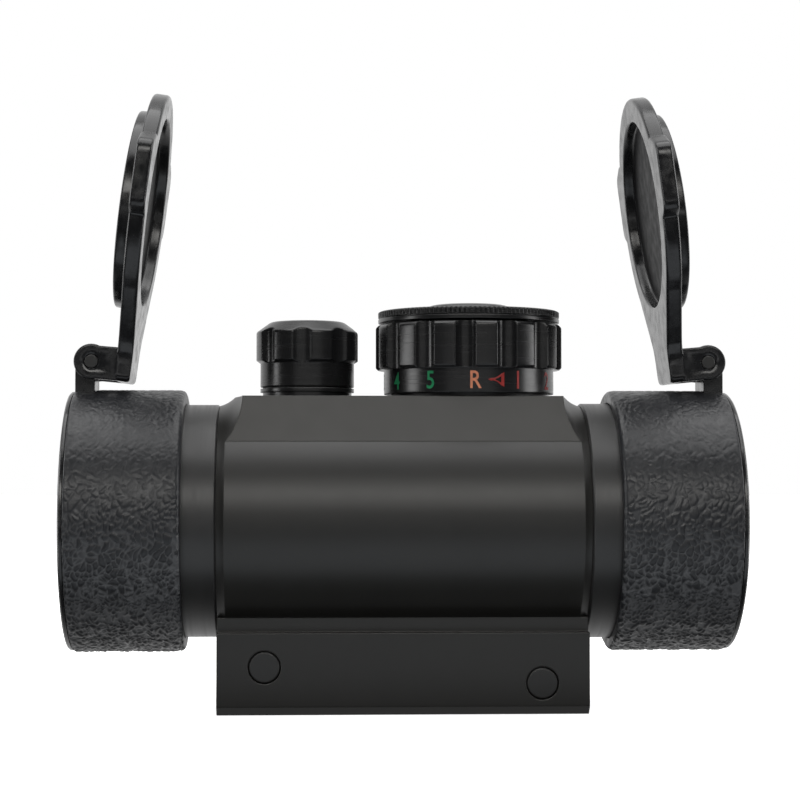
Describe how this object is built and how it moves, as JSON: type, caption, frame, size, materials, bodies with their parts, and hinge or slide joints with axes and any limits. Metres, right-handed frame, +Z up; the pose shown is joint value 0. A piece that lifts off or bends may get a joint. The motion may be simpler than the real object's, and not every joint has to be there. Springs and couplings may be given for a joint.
{
  "type": "red dot sight",
  "caption": "Closed-tube red dot sight with a rail clamp, brightness dial, capped adjusting screws and flip-up lens covers, stored open.",
  "frame": {"origin": "centre of the rail seat, the flat that rests on top of the rail", "axes": "+X along the optical axis towards the eye, +Z up, +Y towards the windage turret and the moving jaw"},
  "size_m": [0.1224, 0.062, 0.1144],
  "materials": {
    "anodised_body": "satin black anodised",
    "anodised_bell": "satin black anodised, turned",
    "turret_black": "semi-gloss black anodised",
    "cover_rubber": "matte leather-grained",
    "cover_plastic": "semi-gloss moulded",
    "black_steel": "black oxide",
    "bright_steel": "bright",
    "spring_steel": "bright",
    "brass": "turned",
    "optical_glass": "coated",
    "mirror_glass": "dichroic coated",
    "seal_rubber": "matte",
    "inner_plastic": "moulded",
    "board_green": "solder mask",
    "emitter_epoxy": "clear tinted",
    "battery_steel": "nickel-plated"
  },
  "bodies": {
    "housing": {"battery": "battery_steel", "battery_cap_o_ring": "seal_rubber", "battery_contact": "spring_steel", "bias_spring": "spring_steel", "detent_ball": "bright_steel", "detent_spring": "spring_steel", "dial_retaining_ring": "turret_black", "elevation_click_washer": "spring_steel", "elevation_gasket": "seal_rubber", "elevation_seat": "turret_black", "emitter_leads": "brass", "eyepiece_bell": "anodised_bell", "eyepiece_bell_o_ring": "seal_rubber", "eyepiece_retaining_ring": "turret_black", "eyepiece_window": "optical_glass", "front_cover_ring": "cover_plastic", "front_cover_sleeve": "cover_rubber", "front_cross_bolt": "black_steel", "front_hinge_pin": "black_steel", "front_lid_spring": "spring_steel", "main_housing": "anodised_body", "objective_bell": "anodised_bell", "objective_bell_o_ring": "seal_rubber", "objective_retaining_ring": "turret_black", "objective_window": "optical_glass", "pitch_pins": "bright_steel", "rear_cover_ring": "cover_plastic", "rear_cover_sleeve": "cover_rubber", "rear_cross_bolt": "black_steel", "rear_hinge_pin": "black_steel", "rear_lid_spring": "spring_steel", "rheostat_core": "inner_plastic", "switch_board": "board_green", "windage_click_washer": "spring_steel", "windage_gasket": "seal_rubber", "windage_seat": "turret_black"},
    "clamp_jaw": {"clamp_plate": "anodised_body"},
    "front_nut": {"front_clamp_nut": "black_steel"},
    "rear_nut": {"rear_clamp_nut": "black_steel"},
    "front_lid": {"front_lid": "cover_plastic"},
    "rear_lid": {"rear_lid": "cover_plastic"},
    "dial": {"brightness_dial": "turret_black", "contact_wiper": "spring_steel"},
    "battery_cap": {"battery_cap": "turret_black"},
    "elevation_cap": {"elevation_cap": "turret_black"},
    "windage_cap": {"windage_cap": "turret_black"},
    "elevation_screw": {"elevation_screw": "brass"},
    "windage_screw": {"windage_screw": "brass"},
    "elevation_plunger": {"elevation_plunger": "brass"},
    "windage_plunger": {"windage_plunger": "brass"},
    "gimbal": {"gimbal_ring": "turret_black", "yaw_pins": "bright_steel"},
    "optics": {"optical_tube": "turret_black", "reflector_lens": "mirror_glass", "reflector_retaining_ring": "turret_black", "emitter_holder": "inner_plastic", "dot_emitter": "emitter_epoxy"}
  },
  "joints": [
    {"name": "front_lid_hinge", "type": "hinge", "parent": "housing", "child": "front_lid", "pos_m": [-0.057, 0, 0.058], "axis": [0, -1, 0], "range_deg": [0, 187.6], "stiffness_Nm_per_rad": 0.002},
    {"name": "rear_lid_hinge", "type": "hinge", "parent": "housing", "child": "rear_lid", "pos_m": [0.057, 0, 0.058], "axis": [0, 1, 0], "range_deg": [0, 187.6], "stiffness_Nm_per_rad": 0.002},
    {"name": "brightness_dial_turn", "type": "hinge", "parent": "housing", "child": "dial", "pos_m": [0.0129, 0, 0.0586], "axis": [0, 0, 1], "continuous": true},
    {"name": "battery_cap_lift", "type": "slide", "parent": "housing", "child": "battery_cap", "axis": [0, 0, 1], "range_m": [0, 0.02]},
    {"name": "elevation_cap_lift", "type": "slide", "parent": "housing", "child": "elevation_cap", "axis": [0, 0, 1], "range_m": [0, 0.018]},
    {"name": "windage_cap_pull", "type": "slide", "parent": "housing", "child": "windage_cap", "axis": [0, 1, 0], "range_m": [0, 0.018]},
    {"name": "elevation_screw_turn", "type": "hinge", "parent": "housing", "child": "elevation_screw", "pos_m": [-0.0174, 0, 0.0556], "axis": [0, 0, 1], "range_deg": [-360, 360]},
    {"name": "elevation_plunger_slide", "type": "slide", "parent": "housing", "child": "elevation_plunger", "axis": [0, 0, 1], "range_m": [-0.0005, 0.0005]},
    {"name": "elevation_tilt", "type": "hinge", "parent": "housing", "child": "gimbal", "pos_m": [0.02, 0, 0.0286], "axis": [0, 1, 0], "range_deg": [-0.8, 0.8], "deforming": ["bias_spring"]},
    {"name": "windage_screw_turn", "type": "hinge", "parent": "housing", "child": "windage_screw", "pos_m": [-0.0174, 0.027, 0.0286], "axis": [0, 1, 0], "range_deg": [-360, 360]},
    {"name": "windage_plunger_slide", "type": "slide", "parent": "housing", "child": "windage_plunger", "axis": [0, 1, 0], "range_m": [-0.0005, 0.0005]},
    {"name": "windage_tilt", "type": "hinge", "parent": "gimbal", "child": "optics", "pos_m": [0.02, 0, 0.0286], "axis": [0, 0, 1], "range_deg": [-0.8, 0.8], "deforming": ["bias_spring"]},
    {"name": "clamp_jaw_slide", "type": "slide", "parent": "housing", "child": "clamp_jaw", "axis": [0, 1, 0], "range_m": [0, 0.003]},
    {"name": "front_clamp_nut_turn", "type": "hinge", "parent": "clamp_jaw", "child": "front_nut", "pos_m": [-0.025, 0.019, 0.0027], "axis": [0, 1, 0], "range_deg": [0, 1080]},
    {"name": "rear_clamp_nut_turn", "type": "hinge", "parent": "clamp_jaw", "child": "rear_nut", "pos_m": [0.025, 0.019, -0.0003], "axis": [0, 1, 0], "range_deg": [0, 1080]}
  ],
  "couplings": [
    {"joint": "elevation_screw_turn", "follows": "elevation_plunger_slide", "rad_per_m": -12566},
    {"joint": "elevation_tilt", "follows": "elevation_plunger_slide", "rad_per_m": 26.738},
    {"joint": "windage_screw_turn", "follows": "windage_plunger_slide", "rad_per_m": -12566},
    {"joint": "windage_tilt", "follows": "windage_plunger_slide", "rad_per_m": -26.738},
    {"joint": "front_clamp_nut_turn", "follows": "clamp_jaw_slide", "rad_per_m": 6283.2},
    {"joint": "rear_clamp_nut_turn", "follows": "clamp_jaw_slide", "rad_per_m": 6283.2}
  ]
}
